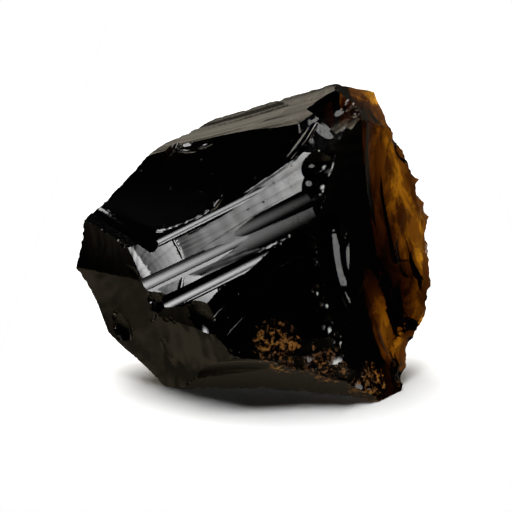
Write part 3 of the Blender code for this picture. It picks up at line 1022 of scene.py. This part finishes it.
def soft_lamp(name, azimuth, rise, spread, radiance, on_table=True, mirrored=True):
    """A round lamp that fills the given angle, as seen from the chunk, to each side."""
    size = LAMP_DISTANCE * tan(radians(spread)) * MM
    data = bpy.data.lights.new(name, "AREA")
    data.shape = "DISK"
    data.size = 2 * size
    data.energy = radiance * (pi * size) ** 2
    lamp = bpy.data.objects.new(name, data)
    lamp.visible_diffuse = on_table
    lamp.visible_glossy = mirrored
    look_from(lamp, VIEW_TARGET, azimuth, rise, LAMP_DISTANCE)
    return data


soft_lamp("overhead", -150.0, 70.0, 26.0, 10.0, mirrored=False)
box = soft_lamp("soft_box", -46.0, 35.0, 36.0, 14.0, on_table=False)
box.use_nodes = True
glow = box.node_tree
spot = node_in(glow, "ShaderNodeNewGeometry").outputs["Parametric"]
across = node_in(glow, "ShaderNodeVectorMath", (spot, BOX_MIDDLE), operation="DISTANCE")
fall = ramp_in(glow, across.outputs["Value"], (0.0, BOX_EDGE), (1.0, 0.0))
steep = maths_in(glow, "POWER", fall, BOX_FALL)
glow.links.new(steep, glow.nodes["Emission"].inputs["Strength"])
soft_lamp("notch_lamp", -75.0, 71.0, 5.0, 3.4, on_table=False)
soft_lamp("tip_lamp", -67.0, 53.0, 6.0, 9.0, on_table=False)
soft_lamp("side_lamp", 40.0, 15.0, 12.0, 3.2, on_table=False)


# --- The room ----------------------------------------------------------------------------
# The faces mirror a room that is dark in front, with a cloudy bright wall behind at the left,
# a dim one at the right and a brown floor. Rays through the glass see it pale, and the camera
# sees plain white.

ROOM_FRONT = (0.010, 0.010, 0.010, 1.0)
ROOM_BACK = (1.60, 1.44, 1.16, 1.0)
ROOM_BACK_DIM = (0.30, 0.265, 0.20, 1.0)
ROOM_RIGHT = (0.12, 0.105, 0.08, 1.0)
ROOM_FLOOR = (0.46, 0.37, 0.24, 1.0)
ROOM_FLOOR_DIM = (0.16, 0.135, 0.095, 1.0)
ROOM_FLOOR_FRONT = (0.04, 0.033, 0.022, 1.0)
ROOM_FLOOR_BACK = (0.14, 0.115, 0.08, 1.0)
PALE_FLOOR = (0.95, 0.94, 0.90, 1.0)  # what the glass passes on from below
PALE_WALL = (0.90, 0.89, 0.85, 1.0)  # and from behind
CLOUD_NOISE = {"Scale": 7.0, "Detail": 1.0}  # uneven light, in patches about ten degrees across
CLOUD_SPAN = (0.35, 0.65)  # noise at which a patch is dim and is bright
BACKDROP = (1.0, 1.0, 1.0, 1.0)

# Where one part of the room gives way to the next, along X, Y or Z of a unit direction.
WALL_TO_RIGHT = (-0.15, 0.25)
FRONT_TO_WALL = (0.28, 0.48)
FLOOR_TO_RIGHT = (-0.60, 0.05)
FLOOR_TO_BACK = (-0.30, 0.30)
WALLS_TO_FLOOR = (-0.12, -0.5)
PALE_WALL_TO_FLOOR = (-0.05, -0.3)

world = bpy.data.worlds.new("room")
bpy.context.scene.world = world
world.use_nodes = True
room = world.node_tree
around = node_in(room, "ShaderNodeTexCoord").outputs["Generated"]
across, inward, up = node_in(room, "ShaderNodeSeparateXYZ", (around,)).outputs
ramp = partial(ramp_in, room)
mix = partial(mix_in, room)
patch = ramp(noise_in(room, around, CLOUD_NOISE), CLOUD_SPAN)
left_wall = mix(patch, ROOM_BACK_DIM, ROOM_BACK)
wall = mix(ramp(across, WALL_TO_RIGHT), left_wall, ROOM_RIGHT)
walls = mix(ramp(inward, FRONT_TO_WALL), ROOM_FRONT, wall)
side_floor = mix(patch, ROOM_FLOOR_DIM, ROOM_FLOOR)
front_floor = mix(ramp(across, FLOOR_TO_RIGHT), side_floor, ROOM_FLOOR_FRONT)
floor = mix(ramp(inward, FLOOR_TO_BACK), front_floor, ROOM_FLOOR_BACK)
inside = mix(ramp(up, WALLS_TO_FLOOR), walls, floor)
behind = mix(ramp(inward, FRONT_TO_WALL), ROOM_FRONT, PALE_WALL)
through = mix(ramp(up, PALE_WALL_TO_FLOOR), behind, PALE_FLOOR)
light = node_in(room, "ShaderNodeLightPath").outputs
lit = mix(light["Is Transmission Ray"], inside, through)
sky = room.nodes["Background"]
room.links.new(mix(light["Is Camera Ray"], lit, BACKDROP), sky.inputs["Color"])
bpy.context.scene.view_settings.view_transform = "Standard"
